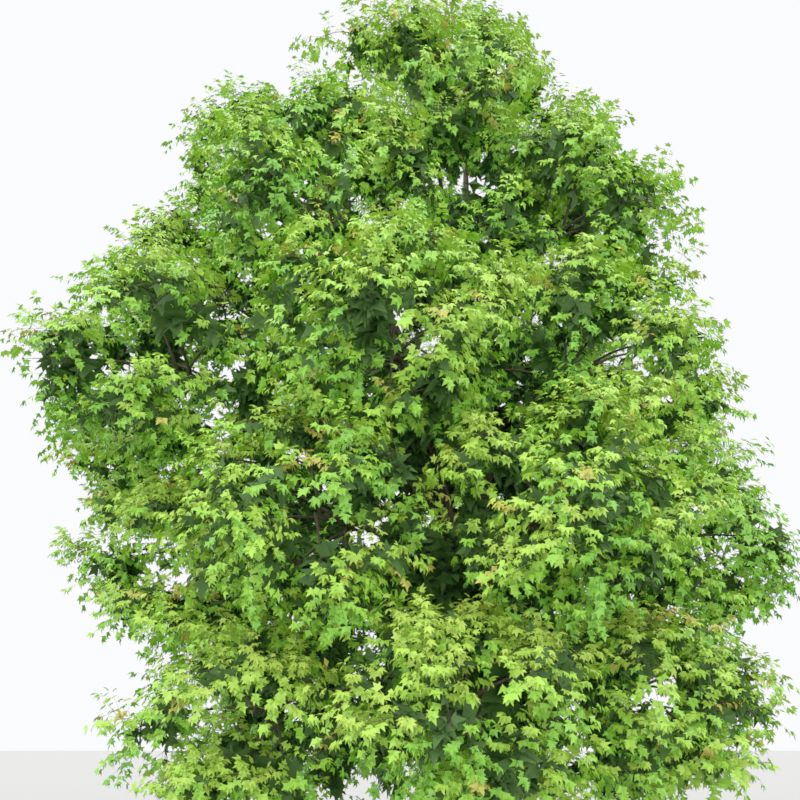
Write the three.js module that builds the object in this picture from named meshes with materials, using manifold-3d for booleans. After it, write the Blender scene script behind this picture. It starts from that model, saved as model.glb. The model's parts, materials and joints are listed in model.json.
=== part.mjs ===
// Field maple tree, rooted in level ground, in full early-summer leaf.
// Millimetres, +Z up. The origin is the middle of the flat cut under the trunk, at ground level.
//
// The trunk forks at about 3 m and runs on as a thin leader. Boughs leave it, or leave a bigger bough,
// and each one ends where it enters a mass of foliage. The masses stand in tiers round a crown that
// hangs further to the left (-X) than to the right, and a little further to the front (-Y) low down.

import * as THREE from "three";
import { mergeVertices } from "three/addons/utils/BufferGeometryUtils.js";
import Module from "manifold-3d";

const wasm = await Module();
wasm.setup();

// Fits
const MEETING_GAP = 0.3; // left between two solids that meet
const CUT_MARGIN = 0.35; // how much a parent limb is swollen before it trims a bough's root
const MASS_GAP = 50; // left between neighbouring masses
const LIMB_CLEARANCE = 25; // kept between foliage and every limb it doesn't grow from

// Trunk
const TRUNK_HEIGHT = 8350;
const TRUNK_GIRTHS = [[0, 205], [2700, 168], [3900, 92], [TRUNK_HEIGHT, 32]]; // height, radius
const TRUNK_SWAY = { x: -70, y: 55, waves: 1 }; // side-to-side wander of the stem
const TRUNK_LEAN = { x: 50, y: 40 }; // where the tip stands, seen from above
const ROOT_FLARE = { spread: 95, height: 260, ribs: 5, ribDepth: 0.32 };
const TRUNK_RINGS = 17;
const TRUNK_RING_SPACING = 1.6; // above 1 the rings crowd towards the flared foot
const TRUNK_SIDES = 14;

// Boughs
const BOUGH_SIDES = 6;
const BOUGH_RINGS = 5;
const BOUGH_TAPER = 0.85;
const BOUGH_SWEEP = { leaving: 0.35, arriving: 0.3 }; // shares of its length that keep each end's direction
const ENTRY_DEPTH = 0.95; // a bough stops at this share of the way out from its mass's middle

// Tiers of foliage, from the lowest up. reach is the distance of the masses' middles from the crown's
// axis, shift is that axis, turn is the bearing of the first mass, and half holds the half-sizes outward,
// across and up. rise and arrive are a bough's angles above level, in degrees, where it leaves and where
// it enters its mass. root says where the boughs leave: a height on the trunk, or a share of the way
// along a bough of another tier.
const TIERS = [
  {
    name: "skirt", count: 6, height: 1620, reach: 2050, shift: [-200, -230], turn: -92,
    half: [1330, 1350, 1000], rise: 30, arrive: -14, tip: 25,
    root: { on: "trunk", from: 1500, to: 2050, radius: 52 },
  },
  {
    name: "lower", count: 7, height: 3150, reach: 2440, shift: [-430, -150], turn: -117,
    half: [1420, 1400, 1050], rise: 38, arrive: 4, tip: 26,
    root: { on: "trunk", from: 2250, to: 2950, radius: 62 },
  },
  {
    name: "middle", count: 7, height: 4760, reach: 2700, shift: [-880, 0], turn: -90,
    half: [1470, 1440, 1080], rise: 30, arrive: 12, tip: 25,
    root: { on: "upper", from: 0.3, to: 0.42, radius: 46 },
  },
  {
    name: "upper", count: 5, height: 6480, reach: 2250, shift: [-870, 0], turn: -108,
    half: [1450, 1460, 1100], rise: 54, arrive: 34, tip: 30,
    root: { on: "trunk", from: 2950, to: 3500, radius: 64 },
  },
  {
    name: "shoulder", count: 4, height: 8020, reach: 1720, shift: [-620, 0], turn: -88,
    half: [1400, 1420, 1100], rise: 60, arrive: 45, tip: 26,
    root: { on: "trunk", from: 5100, to: 6100, radius: 44 },
  },
  {
    name: "crest", count: 1, height: 9360, reach: 0, shift: [TRUNK_LEAN.x, TRUNK_LEAN.y], turn: 0,
    half: [1260, 1400, 1060], root: { on: "tip" },
  },
];
const HEIGHT_WANDER = 170; // how far a mass stands above or below its tier
const REACH_WANDER = 0.05; // how far it stands in or out, as a share of the reach
const SIZE_WANDER = 0.07;

// Foliage. Shares are of the way from a mass's middle to the edge of its space.
const CORE_SHARE = 0.66; // of the way to the egg shape's skin
const CORE_WALL_SHARE = 0.82; // of the way to the wall before a neighbour
const CORE_LUMPS = { depth: 0.12, waves: [8, 7, 6] };
const SHOOTS = 10; // in each mass; every second one shows its twig, and the rest leave the core itself
const SHOOT_SHAKE = { around: 0.5, down: 0.15 };
const TWIG_END_SHARE = 0.86;
const TWIG_RADIUS = 19;
const TWIG_TAPER = 0.45;
const STEM_TAPER = 0.7;
const SPRAY_LENGTHS = { longest: 1000, shortest: 300, step: 0.9 };
const DOWNHILL_SLANT = 0.5; // how much a spray's way down also leads out
const SPRAY_HANG = 0.85; // how far a spray follows the mass's skin, where 0 points straight out
const SPRAY_TURNS = [0, 45, -45, 90, -90, 140, -140, 180]; // degrees off straight downhill, tried in turn
const SPRAY_SINK = 0.3; // share of a spray's length from its root to the twig's end, or the core's skin
const SPRAY_MARGIN = 0.12; // share of its length added to the clearance from limbs
// A spray's outline, as shares of its length: along, across and below its ridge. It is mirrored.
const SIDE_LOBE = [0.58, 0.5, 0.1];
const NOTCH = [0.64, 0.19, 0.03];
const END_LOBE = [1, 0, 0.12];
const RIDGE = { along: 0.42, thickness: 0.055 };
const GOLDEN_ANGLE = Math.PI * (3 - Math.sqrt(5));

// How finely limbs are measured for clearance, and how near a limb counts, in half-sizes of the mass
const TRUNK_STATIONS = 90;
const BOUGH_STATIONS = 40;
const NEARBY = 1.5;

// Finishes
const BARK = { color: 0x6b5b49, roughness: 0.95, metalness: 0 };
const BOUGH_BARK = { color: 0x5d5040, roughness: 0.93, metalness: 0 };
const FOLIAGE = {
  skirt: { color: 0x5f9a2c, roughness: 0.7, metalness: 0 },
  lower: { color: 0x66a530, roughness: 0.7, metalness: 0 },
  middle: { color: 0x6dab33, roughness: 0.7, metalness: 0 },
  upper: { color: 0x74b038, roughness: 0.7, metalness: 0 },
  shoulder: { color: 0x7ab43c, roughness: 0.7, metalness: 0 },
  crest: { color: 0x82b944, roughness: 0.7, metalness: 0 },
};

const UP = new THREE.Vector3(0, 0, 1);
const radians = THREE.MathUtils.degToRad;

// A small seeded generator of numbers from 0 to 1: the same seed always grows the same tree.
function seeded(seed) {
  let state = seed >>> 0;
  return () => {
    state = (state + 0x6d2b79f5) >>> 0;
    let mixed = Math.imul(state ^ (state >>> 15), 1 | state);
    mixed = (mixed + Math.imul(mixed ^ (mixed >>> 7), 61 | mixed)) ^ mixed;
    return ((mixed ^ (mixed >>> 14)) >>> 0) / 4294967296;
  };
}

// Level direction at a bearing, in radians from +X towards +Y.
function level(bearing) {
  return new THREE.Vector3(Math.cos(bearing), Math.sin(bearing), 0);
}

// The direction outward, lifted by an angle in degrees.
function lifted(outward, degrees) {
  const angle = radians(degrees);
  return outward.clone().multiplyScalar(Math.cos(angle)).addScaledVector(UP, Math.sin(angle));
}

// Turns a closed geometry into a solid that can be joined and cut.
function toSolid(geometry) {
  geometry.deleteAttribute("normal");
  geometry.deleteAttribute("uv");
  const merged = mergeVertices(geometry, 0.001);
  return new wasm.Manifold(new wasm.Mesh({
    numProp: 3,
    vertProperties: new Float32Array(merged.attributes.position.array),
    triVerts: new Uint32Array(merged.index.array),
  }));
}

function toGeometry(solid) {
  const mesh = solid.getMesh();
  const geometry = new THREE.BufferGeometry();
  geometry.setAttribute("position", new THREE.BufferAttribute(mesh.vertProperties, 3));
  geometry.setIndex(new THREE.BufferAttribute(mesh.triVerts, 1));
  const faceted = geometry.toNonIndexed();
  faceted.computeVertexNormals();
  return faceted;
}

// The largest body of a solid: scraps are dropped, and a hollow that joining sealed is filled.
function largestBody(solid) {
  return solid.decompose().reduce((best, body) => (body.volume() > best.volume() ? body : best));
}

// The line of the trunk: a gentle sway on a slight lean, upright where it leaves the ground.
class TrunkLine extends THREE.Curve {
  getPoint(t, target = new THREE.Vector3()) {
    const settle = t * t * (3 - 2 * t);
    const wave = Math.sin(2 * Math.PI * TRUNK_SWAY.waves * t) * Math.min(1, 4 * t) * (1 - t);
    return target.set(
      TRUNK_LEAN.x * settle + TRUNK_SWAY.x * wave,
      TRUNK_LEAN.y * settle - TRUNK_SWAY.y * wave,
      TRUNK_HEIGHT * t,
    );
  }
}

function trunkRadius(t) {
  const height = t * TRUNK_HEIGHT;
  for (let i = 1; i < TRUNK_GIRTHS.length; i += 1) {
    const [lowHeight, lowRadius] = TRUNK_GIRTHS[i - 1];
    const [highHeight, highRadius] = TRUNK_GIRTHS[i];
    if (height <= highHeight) {
      return THREE.MathUtils.mapLinear(height, lowHeight, highHeight, lowRadius, highRadius);
    }
  }
  return TRUNK_GIRTHS.at(-1)[1];
}

// Bends a unit cylinder along a limb's line. place(vertex, t, angle, onAxis) puts one vertex of its skin.
function bentCylinder(sides, rings, spacing, place) {
  const geometry = new THREE.CylinderGeometry(1, 1, 1, sides, rings);
  const position = geometry.attributes.position;
  const vertex = new THREE.Vector3();
  for (let i = 0; i < position.count; i += 1) {
    vertex.fromBufferAttribute(position, i);
    const t = Math.pow(THREE.MathUtils.clamp(vertex.y + 0.5, 0, 1), spacing);
    const onAxis = Math.hypot(vertex.x, vertex.z) < 0.5;
    place(vertex, t, Math.atan2(vertex.x, vertex.z), onAxis);
    position.setXYZ(i, vertex.x, vertex.y, vertex.z);
  }
  return geometry;
}

// The trunk's skin, its ribs of root flare dying out above the ground.
function trunkGeometry(line, swell) {
  return bentCylinder(TRUNK_SIDES, TRUNK_RINGS, TRUNK_RING_SPACING, (vertex, t, angle, onAxis) => {
    const fade = Math.exp(-(t * TRUNK_HEIGHT) / ROOT_FLARE.height);
    const rib = 1 + ROOT_FLARE.ribDepth * Math.cos(ROOT_FLARE.ribs * angle);
    const radius = onAxis ? 0 : trunkRadius(t) + ROOT_FLARE.spread * fade * rib + swell;
    const centre = line.getPoint(t);
    vertex.set(centre.x + radius * Math.sin(angle), centre.y - radius * Math.cos(angle), centre.z);
  });
}

// A bough's skin. Its line keeps to one upright plane, and side is the level direction square to that plane.
function boughGeometry(line, side, radiusAt, swell) {
  return bentCylinder(BOUGH_SIDES, BOUGH_RINGS, 1, (vertex, t, angle, onAxis) => {
    const radius = onAxis ? 0 : radiusAt(t) + swell;
    const over = new THREE.Vector3().crossVectors(side, line.getTangent(t));
    vertex.copy(line.getPoint(t));
    vertex.addScaledVector(side, radius * Math.sin(angle)).addScaledVector(over, radius * Math.cos(angle));
  });
}

// Places the masses of every tier. Each gets its own space: an egg shape, cut back by planes between
// neighbours.
function placeMasses() {
  const masses = [];
  for (const tier of TIERS) {
    for (let i = 0; i < tier.count; i += 1) {
      const random = seeded(101 * (masses.length + 1));
      const bearing = radians(tier.turn + (360 * i) / tier.count);
      const reach = tier.reach * (1 + REACH_WANDER * (2 * random() - 1));
      const rise = tier.count > 1 ? HEIGHT_WANDER * (2 * random() - 1) : 0;
      const size = tier.count > 1 ? 1 + SIZE_WANDER * (2 * random() - 1) : 1;
      const middle = level(bearing).multiplyScalar(reach);
      middle.add(new THREE.Vector3(tier.shift[0], tier.shift[1], tier.height + rise));
      masses.push({
        tier, random, bearing, middle, order: i,
        name: tier.count > 1 ? `${tier.name}_${i + 1}` : tier.name,
        axes: [level(bearing), level(bearing + Math.PI / 2), UP],
        half: tier.half.map((length) => length * size),
        walls: [],
      });
    }
  }
  return masses;
}

// Puts a plane between each two neighbouring masses, nearer to the smaller one.
function raiseWalls(masses) {
  masses.forEach((mass, i) => {
    masses.slice(i + 1).forEach((other) => {
      const span = other.middle.clone().sub(mass.middle);
      const flatness = (mass.half[2] + other.half[2]) / (mass.half[0] + other.half[0]);
      const normal = new THREE.Vector3(span.x, span.y, span.z / (flatness * flatness)).normalize();
      const share = mass.half[0] / (mass.half[0] + other.half[0]);
      const onWall = mass.middle.clone().addScaledVector(span, share);
      mass.walls.push({ normal, offset: normal.dot(onWall) - MASS_GAP / 2 });
      other.walls.push({ normal: normal.clone().negate(), offset: -normal.dot(onWall) - MASS_GAP / 2 });
    });
  });
}

// How far a mass's egg shape reaches from its middle in a direction, and how far its walls let it.
function eggReach(mass, direction) {
  return 1 / Math.hypot(...mass.axes.map((axis, i) => direction.dot(axis) / mass.half[i]));
}

function wallReach(mass, direction) {
  let reach = Infinity;
  for (const wall of mass.walls) {
    const closing = wall.normal.dot(direction);
    if (closing > 0) reach = Math.min(reach, (wall.offset - wall.normal.dot(mass.middle)) / closing);
  }
  return reach;
}

function spaceReach(mass, direction) {
  return Math.min(eggReach(mass, direction), wallReach(mass, direction));
}

// The core keeps well inside the egg, where leaves stand out of it, and reaches further towards the walls.
function coreReach(mass, direction) {
  return Math.min(CORE_SHARE * eggReach(mass, direction), CORE_WALL_SHARE * wallReach(mass, direction));
}

function insideSpace(mass, point) {
  const offset = point.clone().sub(mass.middle);
  const distance = offset.length();
  return distance < 1 || distance <= spaceReach(mass, offset.divideScalar(distance));
}

// One bough, from the axis of its parent to where it enters its mass.
function layBough(mass, parent, t, radius) {
  const start = parent.line.getPoint(t);
  const outward = mass.middle.clone().sub(start).setZ(0).normalize();
  const entry = lifted(outward, mass.tier.arrive);
  const inward = entry.clone().negate();
  const end = mass.middle.clone().addScaledVector(inward, ENTRY_DEPTH * spaceReach(mass, inward));
  const span = end.distanceTo(start);
  const line = new THREE.CubicBezierCurve3(
    start,
    start.clone().addScaledVector(lifted(outward, mass.tier.rise), BOUGH_SWEEP.leaving * span),
    end.clone().addScaledVector(entry, -BOUGH_SWEEP.arriving * span),
    end,
  );
  const tip = mass.tier.tip;
  const radiusAt = (share) => tip + (radius - tip) * Math.pow(1 - share, BOUGH_TAPER);
  const side = new THREE.Vector3().crossVectors(outward, UP);
  const shape = (swell) => boughGeometry(line, side, radiusAt, swell);
  return { name: `bough_${mass.name}`, line, parent, entry, end, tip, radiusAt, shape };
}

// Gives every mass its bough. Boughs of one tier leave their parent one above the other.
function layBoughs(masses, trunk) {
  const boughs = [];
  const laid = (mass, parent, t) => {
    mass.bough = layBough(mass, parent, t, mass.tier.root.radius);
    boughs.push(mass.bough);
  };
  for (const mass of masses.filter((each) => each.tier.root.on === "trunk")) {
    const { from, to } = mass.tier.root;
    const step = ((mass.order * 2) % mass.tier.count) / mass.tier.count;
    laid(mass, trunk, (from + (to - from) * step) / TRUNK_HEIGHT);
  }
  for (const mass of masses.filter((each) => each.tier.root.on === "tip")) {
    mass.bough = trunk;
  }
  for (const mass of masses.filter((each) => !each.bough)) {
    const carriers = masses.filter((each) => each.tier.name === mass.tier.root.on);
    const apart = (each) => Math.abs(Math.sin((each.bearing - mass.bearing) / 2));
    const nearest = carriers.reduce((best, each) => (apart(each) < apart(best) ? each : best));
    const { from, to } = mass.tier.root;
    const carried = boughs.filter((each) => each.parent === nearest.bough).length;
    laid(mass, nearest.bough, from + (to - from) * carried);
  }
  return boughs;
}

// The gap between a point and the nearest limb's bark.
function limbGap(point, limbs) {
  let nearest = Infinity;
  for (const limb of limbs) {
    for (const station of limb.stations) {
      nearest = Math.min(nearest, point.distanceTo(station.point) - station.radius);
    }
  }
  return nearest;
}

function markStations(limb, count) {
  limb.stations = Array.from({ length: count + 1 }, (_, i) => ({
    point: limb.line.getPoint(i / count),
    radius: limb.radiusAt(i / count),
  }));
}

// A straight three-sided twig.
function twigSolid(from, to, startRadius, endRadius) {
  const length = from.distanceTo(to);
  const geometry = new THREE.CylinderGeometry(endRadius, startRadius, length, 3, 1);
  const direction = to.clone().sub(from).divideScalar(length);
  const turn = new THREE.Quaternion().setFromUnitVectors(new THREE.Vector3(0, 1, 0), direction);
  const middle = from.clone().add(to).multiplyScalar(0.5);
  geometry.applyMatrix4(new THREE.Matrix4().compose(middle, turn, new THREE.Vector3(1, 1, 1)));
  return toSolid(geometry);
}

// A spray's own directions: along it, across it, and out of its upper face.
function sprayFrame(direction, facing) {
  const across = new THREE.Vector3().crossVectors(facing, direction).normalize();
  return { along: direction, across, above: new THREE.Vector3().crossVectors(direction, across) };
}

function onSpray(root, length, frame, [along, across, below]) {
  const point = root.clone().addScaledVector(frame.along, along * length);
  return point.addScaledVector(frame.across, across * length).addScaledVector(frame.above, -below * length);
}

function mirrored([along, across, below]) {
  return [along, -across, below];
}

// One leafy spray: a thin three-lobed blade, highest along its ridge, with lobes that hang.
function spraySolid(root, length, frame) {
  const outline = [[0, 0, 0], SIDE_LOBE, NOTCH, END_LOBE, mirrored(NOTCH), mirrored(SIDE_LOBE)];
  const geometry = new THREE.SphereGeometry(1, outline.length, 2);
  const position = geometry.attributes.position;
  for (let i = 0; i < position.count; i += 1) {
    const height = position.getY(i);
    const turn = Math.atan2(position.getZ(i), -position.getX(i)) / (2 * Math.PI);
    const corner = outline[Math.round((turn + 1) * outline.length) % outline.length];
    const ridge = [RIDGE.along, 0, (Math.sign(height) * RIDGE.thickness) / 2];
    const point = onSpray(root, length, frame, Math.abs(height) > 0.5 ? ridge : corner);
    position.setXYZ(i, point.x, point.y, point.z);
  }
  return toSolid(geometry);
}

// A spray fits where its lobes stay in the mass's space and all of it stays clear of every limb.
function sprayFits(mass, root, length, frame, limbs) {
  const tips = [SIDE_LOBE, mirrored(SIDE_LOBE), END_LOBE].map((lobe) => onSpray(root, length, frame, lobe));
  if (!tips.every((point) => insideSpace(mass, point))) return false;
  const ridge = onSpray(root, length, frame, [RIDGE.along, 0, 0]);
  const between = tips.flatMap((tip) => [tip.clone().lerp(root, 0.5), tip.clone().lerp(ridge, 0.5)]);
  const clearance = LIMB_CLEARANCE + SPRAY_MARGIN * length;
  return [...tips, ...between, ridge, root].every((point) => limbGap(point, limbs) > clearance);
}

// Tries the longest spray and, where that doesn't fit, ever shorter ones. Sprays don't touch each other.
function growSpray(mass, from, direction, facing, limbs) {
  const frame = sprayFrame(direction, facing);
  const { longest, shortest, step } = SPRAY_LENGTHS;
  for (let length = longest; length >= shortest; length *= step) {
    const root = from.clone().addScaledVector(direction, -SPRAY_SINK * length);
    if (sprayFits(mass, root, length, frame, limbs)) {
      const spray = spraySolid(root, length, frame);
      if (mass.grown.every((other) => other.intersect(spray).isEmpty())) {
        mass.grown.push(spray);
        return spray;
      }
    }
  }
  return null;
}

// The shaded heart of a mass: a lumpy ball that fills the inner part of its space.
function coreSolid(mass) {
  const geometry = new THREE.IcosahedronGeometry(1, 1);
  const position = geometry.attributes.position;
  const direction = new THREE.Vector3();
  const [x, y, z] = CORE_LUMPS.waves;
  for (let i = 0; i < position.count; i += 1) {
    direction.fromBufferAttribute(position, i).normalize();
    const lump = Math.sin(x * direction.x + mass.order) * Math.cos(y * direction.y - z * direction.z);
    direction.multiplyScalar((1 + CORE_LUMPS.depth * lump) * coreReach(mass, direction)).add(mass.middle);
    position.setXYZ(i, direction.x, direction.y, direction.z);
  }
  return toSolid(geometry);
}

// The seeded rule: shoots spread evenly round the mass's middle, each shaken and hanging a little.
function shootDirection(mass, i) {
  const height = 1 - (2 * (i + 0.5)) / SHOOTS;
  const around = GOLDEN_ANGLE * i + mass.bearing + SHOOT_SHAKE.around * mass.random();
  const direction = level(around).multiplyScalar(Math.sqrt(1 - height * height)).addScaledVector(UP, height);
  direction.z -= SHOOT_SHAKE.down * mass.random();
  return direction.normalize();
}

// A twig is clear where its outer half keeps off every limb. Its inner half is sunk in the core.
function twigClear(from, to, limbs) {
  const clearance = LIMB_CLEARANCE + 2 * TWIG_RADIUS;
  const places = [0.5, 0.6, 0.7, 0.8, 0.9, 1].map((share) => from.clone().lerp(to, share));
  return places.every((place) => limbGap(place, limbs) > clearance);
}

// Grows the shoot numbered i: a spray that hangs over the mass's skin, on a twig or straight from the core.
function growShoot(mass, i, limbs) {
  const direction = shootDirection(mass, i);
  const onTwig = i % 2 === 0;
  const reach = onTwig ? TWIG_END_SHARE * spaceReach(mass, direction) : coreReach(mass, direction);
  const end = mass.middle.clone().addScaledVector(direction, reach);
  if (!twigClear(mass.middle, end, limbs)) return [];
  const outward = level(GOLDEN_ANGLE * i + mass.bearing);
  const downhill = outward.multiplyScalar(DOWNHILL_SLANT).sub(UP).projectOnPlane(direction).normalize();
  for (const turn of SPRAY_TURNS) {
    const hang = downhill.clone().applyAxisAngle(direction, radians(turn));
    const way = direction.clone().addScaledVector(hang, SPRAY_HANG).normalize();
    const spray = growSpray(mass, end, way, direction, limbs);
    if (spray && onTwig) return [twigSolid(mass.middle, end, TWIG_RADIUS, TWIG_RADIUS * TWIG_TAPER), spray];
    if (spray) return [spray];
  }
  return [];
}

// The stem that carries a mass: it starts just clear of the flat tip of its bough, on the same line.
function stemSolid(mass) {
  const { end, entry, tip } = mass.bough;
  const from = end.clone().addScaledVector(entry, MEETING_GAP);
  return twigSolid(from, mass.middle, tip, tip * STEM_TAPER);
}

// A whole mass, fused to one body: the core cut clear of every limb, then the stem and the shoots.
function massSolid(mass, limbs) {
  let core = coreSolid(mass);
  for (const limb of limbs) {
    core = core.subtract(limb.clearSolid);
  }
  core = largestBody(core);
  mass.grown = [];
  let body = core.add(stemSolid(mass));
  for (let i = 0; i < SHOOTS; i += 1) {
    for (const piece of growShoot(mass, i, limbs)) body = body.add(piece);
  }
  return largestBody(body);
}

function namedMesh(name, geometry, finish) {
  const mesh = new THREE.Mesh(geometry, new THREE.MeshStandardMaterial(finish));
  mesh.name = name;
  return mesh;
}

// The trunk as a limb: what boughs and the topmost mass need to know of it.
function layTrunk() {
  const line = new TrunkLine();
  const shape = (swell) => trunkGeometry(line, swell);
  const end = line.getPoint(1);
  return { name: "trunk", line, end, entry: UP.clone(), tip: trunkRadius(1), radiusAt: trunkRadius, shape };
}

// A bough's own solid, its root trimmed just clear of the limb that carries it.
function boughSolid(bough) {
  return largestBody(toSolid(bough.shape(0)).subtract(toSolid(bough.parent.shape(CUT_MARGIN))));
}

function limbsNear(mass, limbs) {
  const near = (station) => station.point.distanceTo(mass.middle) < NEARBY * mass.half[0];
  return limbs.filter((limb) => limb.stations.some(near));
}

const trunk = layTrunk();
const masses = placeMasses();
raiseWalls(masses);
const boughs = layBoughs(masses, trunk);
markStations(trunk, TRUNK_STATIONS);
boughs.forEach((bough) => markStations(bough, BOUGH_STATIONS));
const limbs = [trunk, ...boughs];
for (const limb of limbs) {
  limb.clearSolid = toSolid(limb.shape(LIMB_CLEARANCE));
}

const group = new THREE.Group();
group.add(namedMesh(trunk.name, toGeometry(toSolid(trunk.shape(0))), BARK));
for (const bough of boughs) {
  group.add(namedMesh(bough.name, toGeometry(boughSolid(bough)), BOUGH_BARK));
}
for (const mass of masses) {
  const solid = massSolid(mass, limbsNear(mass, limbs));
  group.add(namedMesh(`foliage_${mass.name}`, toGeometry(solid), FOLIAGE[mass.tier.name]));
}

export default group;
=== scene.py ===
"""Field maple tree in early-summer leaf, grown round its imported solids.

The same seeded rule that laid out the solids lays out this tree again: trunk, boughs and masses of foliage.
It is then carried on to ridged bark, finer twigs and lobed leaves that keep to the same spaces. Metres, +Z
up, front at -Y.
"""

import json
import logging
import math
from collections.abc import Callable, Iterable
from dataclasses import dataclass, field
from enum import Enum

import bmesh
import bpy
import numpy as np
from mathutils import Euler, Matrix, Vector, noise

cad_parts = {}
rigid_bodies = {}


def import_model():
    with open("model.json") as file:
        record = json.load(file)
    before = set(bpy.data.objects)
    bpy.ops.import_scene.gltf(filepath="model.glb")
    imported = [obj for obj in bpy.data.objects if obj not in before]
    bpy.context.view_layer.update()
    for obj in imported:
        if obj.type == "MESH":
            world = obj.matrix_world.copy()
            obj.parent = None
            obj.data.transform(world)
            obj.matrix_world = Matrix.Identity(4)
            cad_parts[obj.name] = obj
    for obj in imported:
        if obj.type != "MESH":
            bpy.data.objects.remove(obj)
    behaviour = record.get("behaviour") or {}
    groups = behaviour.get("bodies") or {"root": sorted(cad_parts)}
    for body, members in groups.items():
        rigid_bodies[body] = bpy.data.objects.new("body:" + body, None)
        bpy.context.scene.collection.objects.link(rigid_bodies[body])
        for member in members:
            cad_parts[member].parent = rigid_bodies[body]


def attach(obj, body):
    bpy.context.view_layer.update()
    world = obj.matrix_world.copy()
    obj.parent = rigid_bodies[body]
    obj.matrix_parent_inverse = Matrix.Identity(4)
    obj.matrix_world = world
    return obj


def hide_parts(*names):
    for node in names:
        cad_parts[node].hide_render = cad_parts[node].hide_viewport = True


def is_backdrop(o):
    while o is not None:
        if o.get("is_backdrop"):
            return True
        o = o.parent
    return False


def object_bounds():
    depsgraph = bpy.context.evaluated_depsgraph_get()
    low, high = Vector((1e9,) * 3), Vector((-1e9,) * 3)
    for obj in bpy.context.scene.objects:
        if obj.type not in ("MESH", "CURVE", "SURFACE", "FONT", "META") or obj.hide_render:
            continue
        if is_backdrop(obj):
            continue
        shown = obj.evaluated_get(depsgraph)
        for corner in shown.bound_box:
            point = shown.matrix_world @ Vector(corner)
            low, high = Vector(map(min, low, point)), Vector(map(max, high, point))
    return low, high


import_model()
CAD_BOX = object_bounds()

Array = np.ndarray
Pair = tuple[float, float]
Triple = tuple[float, float, float]
NEAR_ZERO = 1e-9
TINY = 1e-6
UP = np.array([0.0, 0.0, 1.0])
GOLDEN_ANGLE = math.pi * (3 - math.sqrt(5))
LOG = logging.getLogger("field_maple")


class Carrier(Enum):
    """What the boughs of a tier leave from."""

    TRUNK = "trunk"
    UPPER_BOUGHS = "upper"
    TRUNK_TIP = "tip"


class Tint(Enum):
    """The colours that sprays of leaves are dealt: five from bright to dark, which are lit and shaded copies
    of one leaf green and so paint light and shade, then bronze, the young leaves' own colour, and the inner
    tint, a near-black green painted as the shade inside the crown.
    """

    FRESH = "fresh"
    LIGHT = "light"
    MID = "mid"
    SHADE = "shade"
    DEEP = "deep"
    BRONZE = "bronze"
    INNER = "inner"

    @property
    def index(self) -> int:
        """The number that stands for the tint in a lot of leaves."""
        return list(Tint).index(self)


def unit(vectors: Array) -> Array:
    """Scales vectors, along the last axis, to length 1."""
    return vectors / np.maximum(np.linalg.norm(vectors, axis=-1, keepdims=True), NEAR_ZERO)


def level(bearing: float) -> Array:
    """The level direction at a bearing in radians, from +X towards +Y."""
    return np.array([math.cos(bearing), math.sin(bearing), 0.0])


def lifted(outward: Array, degrees: float) -> Array:
    """The direction outward, lifted by an angle in degrees."""
    angle = math.radians(degrees)
    return outward * math.cos(angle) + UP * math.sin(angle)


def ramp(value: Array, start: float, width: float) -> Array:
    """How far values are up a ramp: 0 up to its start, and 1 from its start and width on."""
    return np.clip((value - start) / width, 0, 1)


def places_on(lines: Array, corner: Array, part: Array) -> Array:
    """One place on each of several bent lines.

    Args:
        lines: The lines' corners, line by line.
        corner: The number of the corner before each place.
        part: The share of the way from there to the next corner.

    Returns:
        The places.
    """
    index = np.arange(len(lines))
    start, end = lines[index, corner], lines[index, corner + 1]
    return start + (end - start) * part[:, None]


class SeededDraw:
    """The layout rule's generator: the same seed always gives the same numbers from 0 to 1."""

    WORD = 0xFFFFFFFF
    STEP = 0x6D2B79F5

    def __init__(self, seed: int) -> None:
        """Starts the generator at a seed."""
        self.state = seed & self.WORD

    def __call__(self) -> float:
        """Draws the next number.

        Returns:
            The number.
        """
        self.state = (self.state + self.STEP) & self.WORD
        mixed = ((self.state ^ (self.state >> 15)) * (1 | self.state)) & self.WORD
        turned = ((mixed ^ (mixed >> 7)) * (61 | mixed)) & self.WORD
        mixed = ((mixed + turned) ^ mixed) & self.WORD
        return (mixed ^ (mixed >> 14)) / (self.WORD + 1)


@dataclass(frozen=True)
class Tier:
    """One tier of foliage masses, as the solids have it.

    reach is how far the masses stand out from the shifted middle line, and turn the first one's bearing in
    degrees. half holds the half-sizes outward, across and up. root gives the heights on the trunk, or the
    shares along a carrying bough, between which boughs leave. rise and arrive are a bough's angles above
    level at its two ends, and tip its radius there. fill is how far past the masses' shape leaves may stand
    in the valleys between them.
    """

    name: str
    count: int
    height: float
    reach: float
    shift: Pair
    turn: float
    half: Triple
    carrier: Carrier
    root: Pair = (0.0, 0.0)
    root_radius: float = 0.0
    rise: float = 0.0
    arrive: float = 90.0
    tip: float = 0.032
    fill: float = 0.30


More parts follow.
